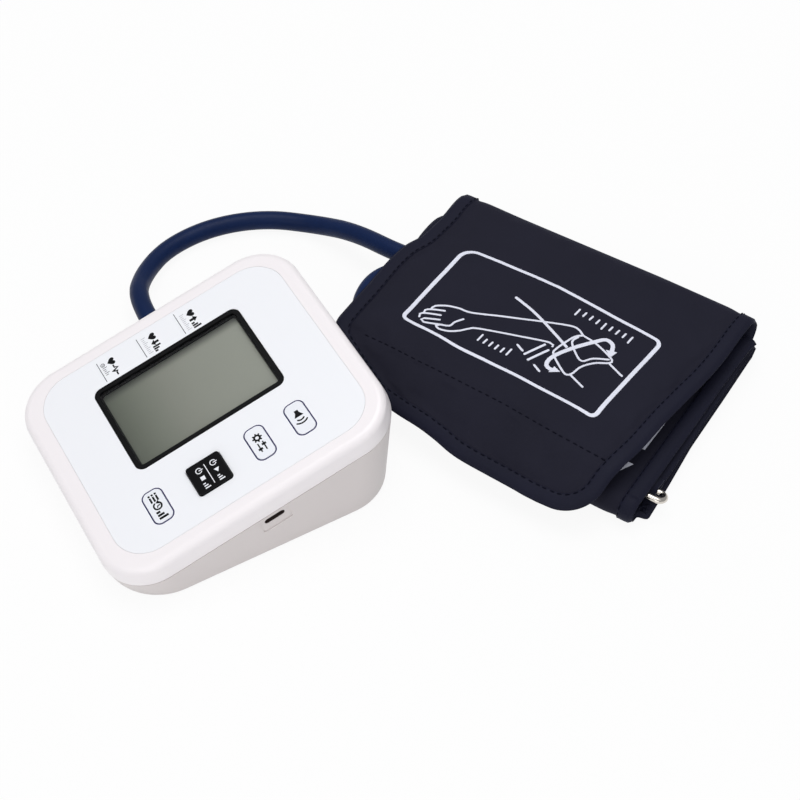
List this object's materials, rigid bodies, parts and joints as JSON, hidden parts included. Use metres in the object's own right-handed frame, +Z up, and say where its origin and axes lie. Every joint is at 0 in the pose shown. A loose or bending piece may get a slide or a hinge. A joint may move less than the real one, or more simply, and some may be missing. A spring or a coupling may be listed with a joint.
{
  "type": "upper arm blood pressure monitor",
  "caption": "Wedge-shaped tabletop monitor with a sloping face, screen and push keys, joined by an air hose to a folded upper arm cuff.",
  "frame": {"origin": "on the table, under the middle of the monitor's underside", "axes": "+X to the reader's right across the monitor's face, +Y away from the reader towards the tall end, +Z up"},
  "size_m": [0.227, 0.2772, 0.0466],
  "materials": {
    "cover_white": "fine satin moulding",
    "case_white": "fine satin moulding",
    "label_white": "smooth printed film",
    "black_plastic": "satin moulding",
    "window_clear": "clear acrylic",
    "lcd_grey": "blank liquid crystal panel",
    "light_panel": "white diffuser",
    "contact_rubber": "layered strip",
    "circuit_board": "solder mask",
    "switch_black": "moulded",
    "key_white": "satin moulding",
    "screw_steel": "plated",
    "cell_wrap": "plain wrapper",
    "speaker_metal": "pressed frame",
    "tube_silicone": "translucent",
    "valve_metal": "drawn can",
    "pump_plastic": "moulded",
    "foam_grey": "foam",
    "foot_rubber": "soft",
    "hose_navy": "soft satin",
    "plug_navy": "moulded",
    "cuff_fabric": "brushed knit",
    "hook_tape": "hook tape",
    "bladder_film": "welded film",
    "ring_nickel": "plated wire"
  },
  "bodies": {
    "monitor": {"top_cover": "cover_white", "bottom_case": "case_white", "front_label": "label_white", "display_bezel": "black_plastic", "display_window": "window_clear", "lcd_glass": "lcd_grey", "lcd_backlight": "light_panel", "lcd_carrier": "light_panel", "lcd_contact_strips": "contact_rubber", "main_board": "circuit_board", "tact_switches": "switch_black", "board_screws": "screw_steel", "usb_port": "screw_steel", "battery_cells": "cell_wrap", "battery_springs": "screw_steel", "battery_plates": "screw_steel", "speaker": "speaker_metal", "air_jack": "black_plastic", "air_manifold": "switch_black", "inner_tubes": "tube_silicone", "pressure_sensor": "switch_black", "release_valve": "valve_metal", "pump_head": "pump_plastic", "pump_motor": "valve_metal", "pump_cradle": "foam_grey", "case_screws": "screw_steel", "rubber_feet": "foot_rubber"},
    "memory_button": {"memory_key": "key_white", "memory_switch_plunger": "switch_black"},
    "start_button": {"start_key": "black_plastic", "start_switch_plunger": "switch_black"},
    "settings_button": {"settings_key": "key_white", "settings_switch_plunger": "switch_black"},
    "voice_button": {"voice_key": "key_white", "voice_switch_plunger": "switch_black"},
    "battery_cover": {"battery_door": "case_white"},
    "folded_cuff": {"air_plug": "plug_navy", "air_hose": "hose_navy", "cuff_ring_panel": "cuff_fabric", "cuff_bladder_panel": "cuff_fabric", "cuff_middle_panel": "cuff_fabric", "air_bladder": "bladder_film", "hose_collar": "plug_navy"},
    "top_flap": {"cuff_flap": "cuff_fabric", "hook_patch": "hook_tape"},
    "metal_ring": {"cuff_ring": "ring_nickel"}
  },
  "joints": [
    {"name": "memory_press", "type": "slide", "parent": "monitor", "child": "memory_button", "axis": [0, 0.247, -0.969], "range_m": [0, 0.0004], "stiffness_N_per_m": 3000, "springref_m": -0.0002},
    {"name": "start_press", "type": "slide", "parent": "monitor", "child": "start_button", "axis": [0, 0.247, -0.969], "range_m": [0, 0.0004], "stiffness_N_per_m": 3000, "springref_m": -0.0002},
    {"name": "settings_press", "type": "slide", "parent": "monitor", "child": "settings_button", "axis": [0, 0.247, -0.969], "range_m": [0, 0.0004], "stiffness_N_per_m": 3000, "springref_m": -0.0002},
    {"name": "voice_press", "type": "slide", "parent": "monitor", "child": "voice_button", "axis": [0, 0.247, -0.969], "range_m": [0, 0.0004], "stiffness_N_per_m": 3000, "springref_m": -0.0002},
    {"name": "battery_cover_hinge", "type": "hinge", "parent": "monitor", "child": "battery_cover", "pos_m": [0, -0.02055, 0.0011], "axis": [-1, 0, 0], "range_deg": [0, 75]},
    {"name": "plug_pull", "type": "slide", "parent": "monitor", "child": "folded_cuff", "axis": [-1, 0, 0], "range_m": [0, 0.014]},
    {"name": "flap_lift", "type": "hinge", "parent": "folded_cuff", "child": "top_flap", "pos_m": [0.00265, 0.18481, 0.01], "axis": [-0.8854, -0.4648, 0], "range_deg": [0, 110]},
    {"name": "ring_tilt", "type": "hinge", "parent": "folded_cuff", "child": "metal_ring", "pos_m": [0.04411, 0.10583, 0.0072], "axis": [-0.8854, -0.4648, 0], "range_deg": [-40, 0]}
  ]
}
